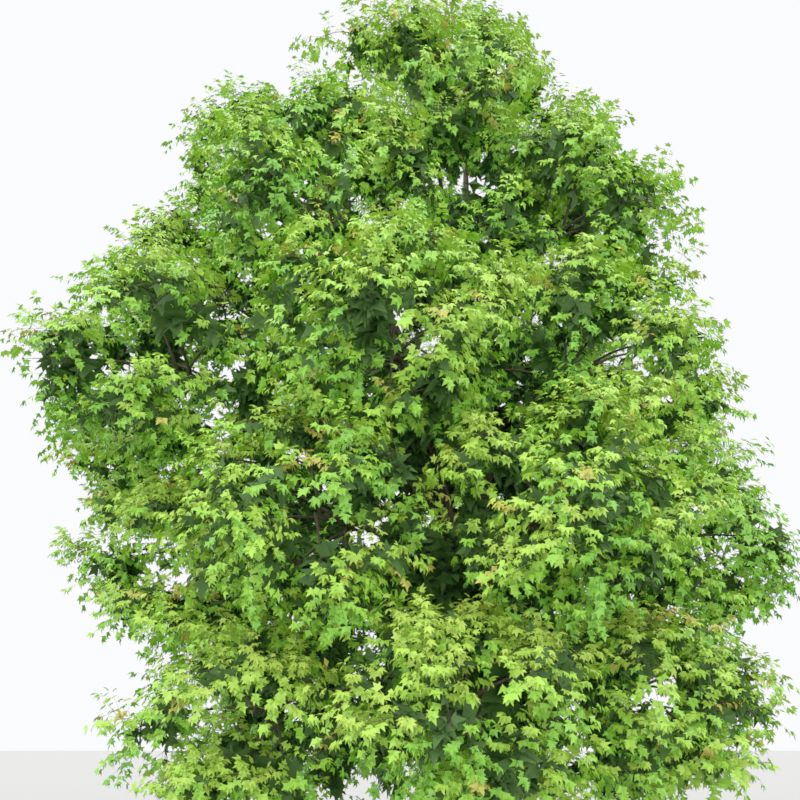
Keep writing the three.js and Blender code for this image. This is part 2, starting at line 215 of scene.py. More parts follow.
TRUNK_LEAN = (0.05, 0.04)
TIERS = (
    Tier("skirt", 6, 1.62, 2.05, (-0.2, -0.23), -92, (1.33, 1.35, 1.0), Carrier.TRUNK,
         root=(1.5, 2.05), root_radius=0.052, rise=30, arrive=-14, tip=0.025, fill=0.44),
    Tier("lower", 7, 3.15, 2.44, (-0.43, -0.15), -117, (1.42, 1.4, 1.05), Carrier.TRUNK,
         root=(2.25, 2.95), root_radius=0.062, rise=38, arrive=4, tip=0.026),
    Tier("middle", 7, 4.76, 2.7, (-0.88, 0.0), -90, (1.47, 1.44, 1.08), Carrier.UPPER_BOUGHS,
         root=(0.3, 0.42), root_radius=0.046, rise=30, arrive=12, tip=0.025),
    Tier("upper", 5, 6.48, 2.25, (-0.87, 0.0), -108, (1.45, 1.46, 1.1), Carrier.TRUNK,
         root=(2.95, 3.5), root_radius=0.064, rise=54, arrive=34, tip=0.030, fill=0.28),
    Tier("shoulder", 4, 8.02, 1.72, (-0.62, 0.0), -88, (1.4, 1.42, 1.1), Carrier.TRUNK,
         root=(5.1, 6.1), root_radius=0.044, rise=60, arrive=45, tip=0.026),
    Tier("crest", 1, 9.36, 0.0, TRUNK_LEAN, 0, (1.26, 1.4, 1.06), Carrier.TRUNK_TIP),
)


@dataclass
class Limb:
    """A trunk or bough: its line and its radius, both over a share from 0 at the root to 1 at the tip.

    end is where it ends, entry the direction in which it enters its mass there, and tip its radius there.
    side is a level direction square to it.
    """

    name: str
    line: Callable[[Array], Array]
    radius: Callable[[Array], Array]
    end: Array
    entry: Array
    tip: float
    parent: "Limb | None" = None
    side: Array = field(default_factory=lambda: level(0))

    def stations(self, count: int) -> tuple[Array, Array]:
        """Places spread evenly along the limb's line, and its radius at each."""
        share = np.linspace(0, 1, count)
        return self.line(share), self.radius(share)


@dataclass
class Mass:
    """One mass of foliage: an egg-shaped space, cut back by the walls between it and its neighbours.

    normals and offsets are those walls' directions and their distances from the origin. Leaves may stand
    past the space: into valleys, which are valley_width of the egg's reach wide, by the tier's fill, towards
    the trunk by inward_fill, and past a wall by interlock.
    """

    tier: Tier
    order: int
    name: str
    bearing: float
    middle: Array
    half: Array
    draw: SeededDraw
    limb: Limb | None = None
    normals: list[Array] = field(default_factory=list)
    offsets: list[float] = field(default_factory=list)
    valley_width: float = 0.6
    inward_fill: float = 0.45
    interlock: float = 0.10

    @property
    def axes(self) -> Array:
        """The egg shape's directions outward, across and up."""
        return np.stack([level(self.bearing), level(self.bearing + math.pi / 2), UP])

    def egg_reach(self, directions: Array) -> Array:
        """How far the egg shape reaches from the middle in each direction."""
        return 1 / np.linalg.norm(directions @ self.axes.T / self.half, axis=-1)

    def wall_reach(self, directions: Array) -> Array:
        """How far the nearest wall lets the mass reach.

        Args:
            directions: Directions from the middle.

        Returns:
            The reach in each direction.
        """
        normals = np.array(self.normals)
        room = np.array(self.offsets) - normals @ self.middle
        closing = directions @ normals.T
        return np.where(closing > TINY, room / np.maximum(closing, TINY), np.inf).min(axis=-1)

    def space_reach(self, directions: Array) -> Array:
        """How far the mass's space reaches from the middle in each direction."""
        return np.minimum(self.egg_reach(directions), self.wall_reach(directions))

    def leafy_reach(self, directions: Array) -> Array:
        """How far leaves reach: the space, let out into the valleys beside it and the crown's heart.

        Args:
            directions: Directions from the middle.

        Returns:
            The reach in each direction.
        """
        egg, wall = self.egg_reach(directions), self.wall_reach(directions)
        valley = np.clip(1 - np.abs(wall / egg - 1) / self.valley_width, 0, 1)
        inward = np.clip(-directions @ self.axes[0], 0, 1) * (self.tier.reach > 0)
        let_out = egg * (1 + self.tier.fill * valley + self.inward_fill * inward)
        return np.minimum(let_out, wall + self.interlock)

    def depth(self, points: Array) -> Array:
        """How far out points lie.

        Args:
            points: The points.

        Returns:
            The depth of each, from 0 in the mass's middle to 1 at the edge of its leaves.
        """
        offset = points - self.middle
        distance = np.linalg.norm(offset, axis=-1)
        return distance / self.leafy_reach(unit(offset))


class TrunkShape:
    """The trunk's line and girth."""

    HEIGHT = 8.35
    HEIGHTS = (0.0, 2.7, 3.9, HEIGHT)
    RADII = (0.205, 0.168, 0.092, 0.032)
    SWAY = (-0.07, 0.055)
    SWAY_ONSET = 4
    FLARE_SPREAD = 0.095
    FLARE_HEIGHT = 0.26
    FLARE_RIBS = 5
    RIB_DEPTH = 0.32

    @classmethod
    def line(cls, share: Array) -> Array:
        """Points on the trunk's middle line.

        Args:
            share: Shares of the height, from 0 at the ground to 1 at the tip.

        Returns:
            The points.
        """
        settle = share * share * (3 - 2 * share)
        wave = np.sin(2 * math.pi * share) * np.minimum(1, cls.SWAY_ONSET * share) * (1 - share)
        across = TRUNK_LEAN[0] * settle + cls.SWAY[0] * wave
        away = TRUNK_LEAN[1] * settle - cls.SWAY[1] * wave
        return np.stack([across, away, cls.HEIGHT * share], axis=-1)

    @classmethod
    def radius(cls, share: Array) -> Array:
        """The trunk's radius above its root flare, at shares of its height."""
        return np.interp(share * cls.HEIGHT, cls.HEIGHTS, cls.RADII)

    @classmethod
    def flared(cls, height: float, angle: float) -> float:
        """The trunk's radius with its root flare.

        Args:
            height: The height above the ground.
            angle: The angle round the trunk.

        Returns:
            The radius.
        """
        rib = 1 + cls.RIB_DEPTH * math.cos(cls.FLARE_RIBS * angle)
        flare = cls.FLARE_SPREAD * math.exp(-height / cls.FLARE_HEIGHT) * rib
        return float(cls.radius(np.array(height / cls.HEIGHT))) + flare

    @classmethod
    def limb(cls) -> Limb:
        """The trunk as a limb."""
        return Limb("trunk", cls.line, cls.radius, cls.line(np.array(1.0)), UP, cls.RADII[-1])


class CrownPlan:
    """Lays out the masses and boughs by the rule that the solids follow."""

    MASS_GAP = 0.05
    REACH_WANDER = 0.05
    HEIGHT_WANDER = 0.17
    SIZE_WANDER = 0.07
    SEED_STEP = 101
    ENTRY_DEPTH = 0.95
    LEAVING = 0.35
    ARRIVING = 0.3
    TAPER = 0.85

    def __init__(self) -> None:
        """Lays out the whole crown."""
        self.trunk = TrunkShape.limb()
        self.masses = [mass for tier in TIERS for mass in self.place_tier(tier)]
        self.raise_walls()
        self.boughs: list[Limb] = []
        self.lay_boughs()

    def place_tier(self, tier: Tier) -> Iterable[Mass]:
        """Places the masses of one tier.

        Args:
            tier: The tier.

        Yields:
            Its masses in order, each with its generator as far on as the layout takes it.
        """
        before = sum(each.count for each in TIERS[:TIERS.index(tier)])
        for i in range(tier.count):
            draw = SeededDraw(self.SEED_STEP * (before + i + 1))
            bearing = math.radians(tier.turn + 360 * i / tier.count)
            reach = tier.reach * (1 + self.REACH_WANDER * (2 * draw() - 1))
            several = tier.count > 1
            rise = self.HEIGHT_WANDER * (2 * draw() - 1) if several else 0.0
            size = 1 + self.SIZE_WANDER * (2 * draw() - 1) if several else 1.0
            middle = level(bearing) * reach + np.array([*tier.shift, tier.height + rise])
            name = f"{tier.name}_{i + 1}" if several else tier.name
            yield Mass(tier, i, name, bearing, middle, np.array(tier.half) * size, draw)

    def raise_walls(self) -> None:
        """Puts a wall between each two masses, nearer to the smaller one."""
        for i, mass in enumerate(self.masses):
            for other in self.masses[i + 1:]:
                span = other.middle - mass.middle
                flatness = (mass.half[2] + other.half[2]) / (mass.half[0] + other.half[0])
                normal = unit(span / np.array([1, 1, flatness**2]))
                on_wall = mass.middle + span * mass.half[0] / (mass.half[0] + other.half[0])
                for side, facing in ((mass, normal), (other, -normal)):
                    side.normals.append(facing)
                    side.offsets.append(facing @ on_wall - self.MASS_GAP / 2)

    def lay_bough(self, mass: Mass, parent: Limb, share: float) -> None:
        """Lays a mass's bough from the axis of its parent to where it enters the mass.

        Args:
            mass: The mass that the bough carries.
            parent: The limb that it leaves.
            share: How far along the parent it leaves.
        """
        tier = mass.tier
        start = parent.line(np.array(share))
        outward = unit((mass.middle - start) * np.array([1, 1, 0]))
        entry = lifted(outward, tier.arrive)
        end = mass.middle - entry * self.ENTRY_DEPTH * mass.space_reach(-entry[None])[0]
        span = np.linalg.norm(end - start)
        leaving = start + lifted(outward, tier.rise) * self.LEAVING * span
        arriving = end - entry * self.ARRIVING * span

        def line(t: Array) -> Array:
            """Points on the bough's line.

            Args:
                t: Shares of its length.

            Returns:
                The points.
            """
            t = np.asarray(t)[..., None]
            near = (1 - t) ** 3 * start + 3 * (1 - t) ** 2 * t * leaving
            return near + 3 * (1 - t) * t**2 * arriving + t**3 * end

        def radius(t: Array) -> Array:
            """The bough's radius at shares of its length."""
            return tier.tip + (tier.root_radius - tier.tip) * np.maximum(1 - t, 0) ** self.TAPER

        side = np.cross(outward, UP)
        mass.limb = Limb(f"bough_{mass.name}", line, radius, end, entry, tier.tip, parent, side)
        self.boughs.append(mass.limb)

    def lay_boughs(self) -> None:
        """Gives every mass its bough. The crest sits on the trunk's own tip."""
        for mass in self.masses:
            if mass.tier.carrier is Carrier.TRUNK:
                low, high = mass.tier.root
                step = (mass.order * 2 % mass.tier.count) / mass.tier.count
                self.lay_bough(mass, self.trunk, (low + (high - low) * step) / TrunkShape.HEIGHT)
            elif mass.tier.carrier is Carrier.TRUNK_TIP:
                mass.limb = self.trunk
        carriers = [each for each in self.masses if each.tier.name == Carrier.UPPER_BOUGHS.value]
        for mass in (each for each in self.masses if each.tier.carrier is Carrier.UPPER_BOUGHS):
            nearest = min(carriers, key=lambda each: abs(math.sin((each.bearing - mass.bearing) / 2)))
            low, high = mass.tier.root
            carried = sum(bough.parent is nearest.limb for bough in self.boughs)
            self.lay_bough(mass, nearest.limb, low + (high - low) * carried)


@dataclass
class Leaves:
    """A lot of leaves.

    root is where each stalk starts, along the way the leaf points and face the way its face is turned. size
    is the blade's length, and tint the number of its tint.
    """

    root: Array
    along: Array
    face: Array
    size: Array
    tint: Array

    def kept(self, keep: Array) -> "Leaves":
        """The leaves that a mask keeps."""
        return Leaves(self.root[keep], self.along[keep], self.face[keep], self.size[keep], self.tint[keep])

    @staticmethod
    def joined(lots: list["Leaves"]) -> "Leaves":
        """Several lots of leaves as one."""
        names = ("root", "along", "face", "size", "tint")
        return Leaves(*[np.concatenate([getattr(lot, name) for lot in lots]) for name in names])


@dataclass(frozen=True)
class LeafPattern:
    """A lobed leaf in blade lengths: across, along, and above its middle vein.

    The right half is given from the stalk round to the tip, and the left half mirrors it. Lobes hang below
    the notches, so that the blade is pleated along its veins. A stalk with no width is only a short gap.
    """

    half: tuple[Triple, ...]
    stalk: float
    stalk_width: float = 0.0
    tip: Triple = (0.0, 1.0, -0.20)

    def corners(self) -> Array:
        """The pattern's corners.

        Returns:
            The blade's base, its outline from right to left, then the stalk's foot.
        """
        left = [(-x, y, z) for x, y, z in reversed(self.half)]
        corners = [(0.0, 0.0, 0.0), *self.half, self.tip, *left]
        if self.stalk_width:
            corners += [(self.stalk_width, -self.stalk, 0.0), (-self.stalk_width, -self.stalk, 0.0)]
        return np.array(corners)

    def triangles(self) -> Array:
        """The pattern's triangles.

        Returns:
            The blade's, as a fan from its base, then the stalk's.
        """
        rim = 2 * len(self.half) + 1
        triangles = [(0, i, i + 1) for i in range(1, rim)]
        if self.stalk_width:
            triangles.append((0, rim + 2, rim + 1))
        return np.array(triangles)

    def grown(self, leaves: Leaves) -> tuple[Array, Array]:
        """Sets the pattern at every leaf.

        Args:
            leaves: The leaves.

        Returns:
            The vertices and the triangles of the joined leaves.
        """
        corners = self.corners()
        across = unit(np.cross(leaves.along, leaves.face))
        face = np.cross(across, leaves.along)
        base = leaves.root + leaves.along * (self.stalk * leaves.size)[:, None]
        frames = np.stack([across, leaves.along, face], axis=1) * leaves.size[:, None, None]
        vertices = base[:, None] + np.einsum("ck,nkd->ncd", corners, frames)
        start = np.arange(len(base))[:, None, None] * len(corners)
        return vertices.reshape(-1, 3), (start + self.triangles()).reshape(-1, 3)


FULL_LEAF = LeafPattern(
    ((0.45, 0.03, -0.10), (0.29, 0.20, 0.02), (0.52, 0.60, -0.15), (0.18, 0.49, 0.03)),
    stalk=0.42, stalk_width=0.024,
)
PLAIN_LEAF = LeafPattern(((0.42, 0.05, -0.08), (0.52, 0.60, -0.15), (0.18, 0.49, 0.03)), stalk=0.12)
SIMPLE_LEAF = LeafPattern(((0.52, 0.40, -0.12), (0.22, 0.46, 0.03)), stalk=0.05)
STEEP = 0.8


def grown_tubes(points: Array, radii: Array, sides: int) -> tuple[Array, Array]:
    """Tapering twigs, each closed at its root and pointed at its tip.

    Args:
        points: Places along each twig, twig by twig.
        radii: The radius at each place. The last is where the twig comes to its point.
        sides: How many sides a twig has.

    Returns:
        The vertices and the triangles of the joined twigs.
    """
    count, places, _ = points.shape
    tangent = unit(np.gradient(points, axis=1))
    steep = np.abs(unit(points[:, -1] - points[:, 0])[:, 2]) > STEEP
    aside = np.where(steep[:, None], level(0), UP)[:, None]
    side = unit(np.cross(tangent, aside))
    over = np.cross(side, tangent)
    angle = 2 * math.pi * np.arange(sides)[:, None] / sides
    ring = side[:, :, None] * np.cos(angle) + over[:, :, None] * np.sin(angle)
    rings = (points[:, :, None] + ring * radii[:, :, None, None])[:, :-1]
    vertices = np.concatenate([rings.reshape(count, -1, 3), points[:, -1:]], axis=1)
    triangles = [(0, i, i + 1) for i in range(1, sides - 1)]
    for k in range(places - 2):
        for i in range(sides):
            a, b = k * sides + i, k * sides + (i + 1) % sides
            triangles += [(a, a + sides, b + sides), (a, b + sides, b)]
    last, tip = (places - 2) * sides, (places - 1) * sides
    triangles += [(last + i, tip, last + (i + 1) % sides) for i in range(sides)]
    start = np.arange(count)[:, None, None] * (tip + 1)
    return vertices.reshape(-1, 3), (start + np.array(triangles)).reshape(-1, 3)


def placed(name: str, data: bpy.types.ID) -> bpy.types.Object:
    """Puts an object at the origin of the scene.

    Args:
        name: Its name.
        data: Its mesh, light or camera.

    Returns:
        The object.
    """
    thing = bpy.data.objects.new(name, data)
    bpy.context.scene.collection.objects.link(thing)
    return thing


def joined_piece(name: str, material: bpy.types.Material,
                 parts: list[tuple[Array, Array]]) -> bpy.types.Object:
    """Joins many small meshes to one object, with its place in its mesh.

    Args:
        name: The piece's name.
        material: Its material.
        parts: The vertices and the triangles of each small mesh.

    Returns:
        The object.
    """
    starts = np.cumsum([0, *[len(points) for points, _ in parts]])
    vertices = np.concatenate([points for points, _ in parts])
    triangles = np.concatenate([corners + start for (_, corners), start in zip(parts, starts)])
    mesh = bpy.data.meshes.new(name)
    mesh.vertices.add(len(vertices))
    mesh.vertices.foreach_set("co", vertices.astype(np.float32).ravel())
    mesh.loops.add(triangles.size)
    mesh.loops.foreach_set("vertex_index", triangles.astype(np.int32).ravel())
    mesh.polygons.add(len(triangles))
    mesh.polygons.foreach_set("loop_start", np.arange(0, triangles.size, 3, dtype=np.int32))
    mesh.update(calc_edges=True)
    mesh.materials.append(material)
    return placed(name, mesh)


def set_on_tree(piece: bpy.types.Object, nodes: list[str]) -> None:
    """Sets a piece on the tree, and logs it.

    Args:
        piece: The piece.
        nodes: The solids that it stands for.
    """
    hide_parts(*nodes)
    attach(piece, "root")
    LOG.info("%s has %d faces and stands for %d solids", piece.name, len(piece.data.polygons), len(nodes))


@dataclass(frozen=True)
class PaintedLightRule:
    """How light a spray's leaves are painted, in shares that add up to about 0 in deep shade and 1 in the
    open.

    A spray is painted lighter where its branchlet stands out past usual_out and faces out past
    usual_openness, and where it points up or lies high on its mass, that is where light falls on it, and
    darker where shade falls. own, billow and spray are how far branchlets, billows and sprays vary in tone
    by themselves, at random. steps are the least shares for each tint but the darkest, and bronze sprays are
    dealt from bronze_from up.
    """

    usual: float = 0.40
    standing: float = 0.9
    usual_out: float = 0.70
    open_side: float = 0.30
    usual_openness: float = 0.6
    upward: float = 0.42
    high: float = 0.10
    own: float = 0.09
    billow: float = 0.11
    spray: float = 0.05
    steps: tuple[float, ...] = (0.84, 0.60, 0.40, 0.21)
    bronze_from: float = 0.42
    bronze_share: float = 0.04


@dataclass
class MassGrowth:
    """Grows one mass: stem, shoots, branchlets and twiglets, with leaves in opposite pairs on the twiglets.

    Branchlets gather into billows, and each carries a dome of twiglets over its outer part. Domes on the
    open side of the crown are the fullest. Large leaves in a near-black green, painted shade, sit along the
    branchlets inside the mass, and on short side shoots of its bough. A field that ends in _spread holds a
    least value and how much more it may be, one in _mix holds the shares of two directions, and one in _free
    the first place along a twig that has to keep clear of limbs.
    """

    SEEDS = 1e6

    mass: Mass
    limb_points: Array
    limb_radii: Array
    low: Array
    high: Array
    limb_clearance: float = 0.03
    stem_overlap: float = 0.04
    stem_bend: float = 0.05
    stem_bend_turn: float = 1.0
    stem_taper: float = 0.42
    stem_places: int = 6
    stem_sides: int = 7
    shoots: int = 10
    shoot_reach: float = 0.86
    shoot_radius: float = 0.017
    shoot_tip: float = 0.3
    shoot_arch: float = 0.07
    shoot_root_spread: Pair = (0.55, 0.45)
    shoot_places: int = 7
    shoot_sides: int = 5
    shoot_free: int = 4
    bare_shoot: int = 2
    around_shake: float = 0.5
    down_shake: float = 0.15
    arch_lean: float = 0.8
    side_shoots: int = 16
    side_length: float = 0.62
    side_spread: Pair = (0.7, 0.6)
    side_flatness: float = 0.7
    side_arch: float = 0.08
    side_from: float = 0.35
    side_from_on_trunk: float = 0.78
    side_to: float = 0.96
    side_leaves: int = 15
    side_leaf_spread: Pair = (1.2, 2.75)
    side_leaf_scale: float = 1.2
    billows: int = 18
    billow_shake: float = 0.16
    billow_pull: float = 0.3
    billow_ramp: Pair = (0.87, 0.12)
    branchlets: int = 70
    branchlet_shake: float = 0.10
    branchlet_arch: float = 0.10
    branchlet_radius: float = 0.0065
    branchlet_taper: tuple[float, ...] = (1, 0.85, 0.68, 0.5, 0.3)
    branchlet_free: int = 2
    fine_sides: int = 3
    out_spread: Pair = (0.50, 0.14)
    standing_out: float = 0.24
    leaders: float = 0.25
    leading_out: float = 0.06
    skin_ramp: Pair = (0.65, 0.25)
    open_all_round: float = 0.75
    open_upward: float = 0.35
    closed_share: float = 0.45
    sharp_turn: float = 0.4
    sharp_turn_cost: float = 0.5
    twiglets: tuple[int, int] = (2, 13)
    twiglet_length: float = 0.255
    twiglet_spread: Pair = (0.75, 0.5)
    twiglet_radius: float = 0.0028
    twiglet_shake: float = 0.2
    twiglet_droop: float = 0.04
    twiglet_margin: float = 1.04
    dome_wrap: float = 1.2
    dome_lift: float = 0.4
    dome_flatness: float = 0.8
    dome_share: float = 0.55
    light: PaintedLightRule = PaintedLightRule()
    pair_shares: tuple[float, ...] = (0.36, 0.62, 0.85, 0.98)
    pair_shake: float = 0.04
    pair_forward: float = 0.5
    steep_mix: Pair = (0.75, 0.6)
    outward_mix: Pair = (0.5, 0.8)
    leaf_length: float = 0.070
    leaf_spread: Pair = (0.78, 0.42)
    hang_spread: Pair = (0.50, 0.50)
    leaf_outward: float = 0.25
    leaf_shake: float = 0.20
    face_upward: float = 0.52
    face_outward: float = 0.88
    face_shake: float = 0.18
    leaf_tip: float = 1.42
    leaf_margin: float = 1.07
    ground_gap: float = 0.05
    inner_leaves: int = 1800
    inner_length: float = 0.165
    inner_spread: Pair = (0.8, 0.4)
    inner_depth: float = 0.74
    inner_openness: float = 0.25
    inner_choice: float = 1.4
    inner_scale: float = 2.3
    outward_shrink: float = 2.0
    shade_depth: float = 0.82
    shaded_hang: float = 0.4
    shaded_shake: float = 0.8

    def __post_init__(self) -> None:
        """Seeds the fine growth by the mass's own place in the crown."""
        self.shoot_ways = self.shoot_directions()
        self.rng = np.random.default_rng(int(self.SEEDS * self.mass.draw()))
        self.tubes: list[tuple[Array, Array, int]] = []

    def shoot_directions(self) -> Array:
        """The main shoots' directions by the solids' rule: spread evenly, shaken and hanging a little.

        Returns:
            The directions.
        """
        ways = []
        for i in range(self.shoots):
            height = 1 - 2 * (i + 0.5) / self.shoots
            around = GOLDEN_ANGLE * i + self.mass.bearing + self.around_shake * self.mass.draw()
            way = level(around) * math.sqrt(1 - height * height) + UP * height
            way[2] -= self.down_shake * self.mass.draw()
            ways.append(unit(way))
        return np.array(ways)

    def spread(self, shares: Pair, count: int) -> Array:
        """Random shares: at least the first number, and up to the second one more."""
        return shares[0] + shares[1] * self.rng.random(count)

    def shaken(self, *shape: int) -> Array:
        """Random numbers about 0, most of them within 1 of it."""
        return self.rng.standard_normal(shape)

    def clear_of_limbs(self, points: Array) -> Array:
        """Which points keep clear of the bark of every limb nearby."""
        gap = np.linalg.norm(points[:, None] - self.limb_points[None], axis=-1) - self.limb_radii
        return gap.min(axis=1) > self.limb_clearance

    def clear_lines(self, lines: Array, first: int) -> Array:
        """Which lines keep clear of every limb, from the corner with a given number on."""
        outer = lines[:, first:]
        return self.clear_of_limbs(outer.reshape(-1, 3)).reshape(len(lines), -1).all(axis=1)

    def boxed(self, points: Array) -> Array:
        """Which points lie inside the tree's box."""
        return ((points > self.low) & (points < self.high)).all(axis=-1)

    def inside(self, points: Array, most: float) -> Array:
        """Which points lie in the tree's box, and no farther out than a share of the reach of leaves."""
        return self.boxed(points) & (self.mass.depth(points) < most)

    def grow_stem(self) -> tuple[Array, Array]:
        """Grows the stem that runs on from the bough's tip, bent a little, to the mass's middle.

        Returns:
            The stem's two ends.
        """
        limb = self.mass.limb
        start = limb.end - limb.entry * self.stem_overlap
        share = np.linspace(0, 1, self.stem_places)[:, None]
        aside = level(self.mass.bearing + self.stem_bend_turn)
        bend = np.cross(limb.entry, aside) * self.stem_bend
        points = start + (self.mass.middle - start) * share + bend * np.sin(math.pi * share)
        radii = limb.tip * (1 - self.stem_taper * share[:, 0])
        self.tubes.append((points[None], radii[None], self.stem_sides))
        return start, self.mass.middle

    def arched(self, start: Array, end: Array, rise: Array, places: int) -> Array:
        """Curves from starts to ends that rise over their middle and come down to their tips.

        Args:
            start: Where each curve starts.
            end: Where each ends.
            rise: How far each rises over a straight line.
            places: How many places along each to return.

        Returns:
            The places, curve by curve.
        """
        share = np.linspace(0, 1, places)[None, :, None]
        arch = np.sin(math.pi * share**self.arch_lean) * rise[:, None, None] * UP
        return start[:, None] + (end - start)[:, None] * share + arch

    def keep_tubes(self, lines: Array, radii: Array, sides: int) -> None:
        """Keeps lines as twigs that all have the same radii from root to tip."""
        self.tubes.append((lines, np.tile(radii, (len(lines), 1)), sides))

    def keep_branchlets(self, lines: Array) -> None:
        """Keeps lines as tapering branchlets."""
        self.keep_tubes(lines, self.branchlet_radius * np.array(self.branchlet_taper), self.fine_sides)

    def grow_shoots(self, start: Array, middle: Array) -> Array:
        """Grows the main shoots from the outer half of the stem.

        Args:
            start: Where the stem starts.
            middle: Where it ends.

        Returns:
            The shoots' places, shoot by shoot. Those that would touch a limb are left out.
        """
        reach = self.mass.space_reach(self.shoot_ways)
        ends = self.mass.middle + self.shoot_ways * (self.shoot_reach * reach)[:, None]
        least, more = self.shoot_root_spread
        stations = least + more * self.rng.permutation(self.shoots)[:, None] / (self.shoots - 1)
        roots = start + (middle - start) * stations
        points = self.arched(roots, ends, self.shoot_arch * reach, self.shoot_places)
        points = points[self.clear_lines(points, self.shoot_free)]
        taper = np.linspace(1, self.shoot_tip, self.shoot_places)
        self.keep_tubes(points, self.shoot_radius * taper, self.shoot_sides)
        return points

    def grow_side_shoots(self) -> Leaves:
        """Grows short side shoots from the bough's outer part, in the crown's heart, with leaves in a
        near-black green as painted shade.

        Returns:
            The leaves on them.
        """
        limb, count = self.mass.limb, self.side_shoots
        inmost = self.side_from if limb.parent else self.side_from_on_trunk
        start = limb.line(self.spread((inmost, self.side_to - inmost), count))
        way = unit(self.shaken(count, 3) * np.array([1, 1, self.side_flatness]))
        span = self.side_length * self.spread(self.side_spread, count)
        end, places = start + way * span[:, None], len(self.branchlet_taper)
        points = self.arched(start, end, self.side_arch * span, places)
        points = points[self.boxed(points).all(axis=1) & self.clear_lines(points, self.branchlet_free)]
        self.keep_branchlets(points)
        lines = np.repeat(points, self.side_leaves, axis=0)
        place = self.spread(self.side_leaf_spread, len(lines))
        corner = place.astype(int)
        root = places_on(lines, corner, place - corner)
        # Painted shade: the side shoots' leaves take the near-black inner tint.
        scale, tint = np.full(len(root), self.side_leaf_scale), np.full(len(root), Tint.INNER.index)
        return self.shaded_lot(root, scale, tint)

    def scattered_ways(self, count: int, shake: float) -> Array:
        """Directions spread evenly all round, then shaken.

        Args:
            count: How many.
            shake: How far each is shaken, in radians or so.

        Returns:
            The directions.
        """
        index = np.arange(count)
        height = 1 - 2 * (index + 0.5) / count
        around = GOLDEN_ANGLE * index + 2 * math.pi * self.rng.random()
        flat = np.sqrt(1 - height**2)
        ways = np.stack([np.cos(around) * flat, np.sin(around) * flat, height], axis=1)
        return unit(ways + shake * self.shaken(*ways.shape))

    def branchlet_targets(self) -> tuple[Array, Array, Array]:
        """Where the branchlets end, how openly each faces out of the crown, and how light its leaves are
        painted.

        Returns:
            The places, the openness of each from 0 inside the crown to 1 on its skin, and how much lighter
            than its fellows its leaves are painted: those that stand out, where more light falls, are
            lighter, with some random tone on top.
        """
        billows = self.scattered_ways(self.billows, self.billow_shake)
        ways = self.scattered_ways(self.branchlets, self.branchlet_shake)
        closeness = ways @ billows.T
        nearest = closeness.argmax(axis=1)
        ways = unit(ways + self.billow_pull * (billows[nearest] - ways))
        on_skin = ramp(self.mass.wall_reach(ways) / self.mass.egg_reach(ways), *self.skin_ramp)
        facing = ways @ self.mass.axes[0] if self.mass.tier.reach > 0 else np.ones(len(ways))
        upward = self.open_upward * np.maximum(ways[:, 2], 0)
        openness = on_skin * np.clip(self.open_all_round + facing + upward, 0, 1)
        leading = self.rng.random(self.branchlets) < self.leaders
        standing = ramp(closeness.max(axis=1), *self.billow_ramp)
        out = self.spread(self.out_spread, self.branchlets)
        out = out + self.standing_out * standing + self.leading_out * leading
        targets = self.mass.middle + ways * (out * self.mass.leafy_reach(ways))[:, None]
        kept = self.rng.random(self.branchlets) < self.closed_share + openness
        kept &= self.inside(targets, 1.0)
        # Painted light: branchlets that stand out get lighter tints; the own and billow terms are random
        # tone.
        lightness = self.light.standing * (out - self.light.usual_out)
        lightness += self.light.own * self.shaken(self.branchlets)
        lightness += self.light.billow * self.shaken(self.billows)[nearest]
        return targets[kept], openness[kept], lightness[kept]

    def grow_branchlets(self, shoots: Array) -> tuple[Array, Array, Array]:
        """Grows a branchlet from the nearest shoot to each target, where that needs no sharp turn.

        Args:
            shoots: The main shoots' places.

        Returns:
            The branchlets' places, and the openness and the lightness of each.
        """
        targets, openness, lightness = self.branchlet_targets()
        inner = shoots[:, self.bare_shoot:-1]
        gaps = np.linalg.norm(targets[:, None, None] - inner[None], axis=-1)
        along = unit(inner[None] - self.mass.middle) * unit(targets - self.mass.middle)[:, None, None]
        gaps = gaps + self.sharp_turn_cost * np.maximum(0, self.sharp_turn - along.sum(axis=-1))
        nearest = gaps.reshape(len(targets), -1).argmin(axis=1)
        roots = inner.reshape(-1, 3)[nearest]
        rise = self.branchlet_arch * np.linalg.norm(targets - roots, axis=1)
        points = self.arched(roots, targets, rise, len(self.branchlet_taper))
        keep = self.clear_lines(points, self.branchlet_free)
        self.keep_branchlets(points[keep])
        return points[keep], openness[keep], lightness[keep]

    def grow_twiglets(self, branchlets: Array, openness: Array,
                      lightness: Array) -> tuple[Array, Array, Array]:
        """Grows a dome of twiglets over the outer part of each branchlet.

        Args:
            branchlets: The branchlets' places.
            openness: The openness of each.
            lightness: The lightness of each.

        Returns:
            The twiglets' roots, their tips, and the lightness of each.
        """
        roots, ways, lights = [], [], []
        fewest, most = self.twiglets
        last = branchlets.shape[1] - 1
        for line, facing, own in zip(branchlets, openness, lightness):
            count = round(fewest + (most - fewest) * facing)
            step = (np.arange(count) + 0.5) / count
            bend = 1 - self.dome_wrap * step
            around = GOLDEN_ANGLE * np.arange(count) + 2 * math.pi * self.rng.random()
            axis = unit(unit(line[-1] - line[-3]) + self.dome_lift * UP)
            side = unit(np.cross(axis, UP) + TINY)
            over = np.cross(side, axis)
            ring = side * np.cos(around)[:, None] + over * np.sin(around)[:, None]
            dome = axis * bend[:, None] + ring * np.sqrt(1 - bend**2)[:, None]
            ways.append(dome * np.array([1, 1, self.dome_flatness]))
            place = (1 - self.dome_share * step) * last
            corner = np.minimum(place.astype(int), last - 1)
            roots.append(places_on(np.repeat(line[None], count, axis=0), corner, place - corner))
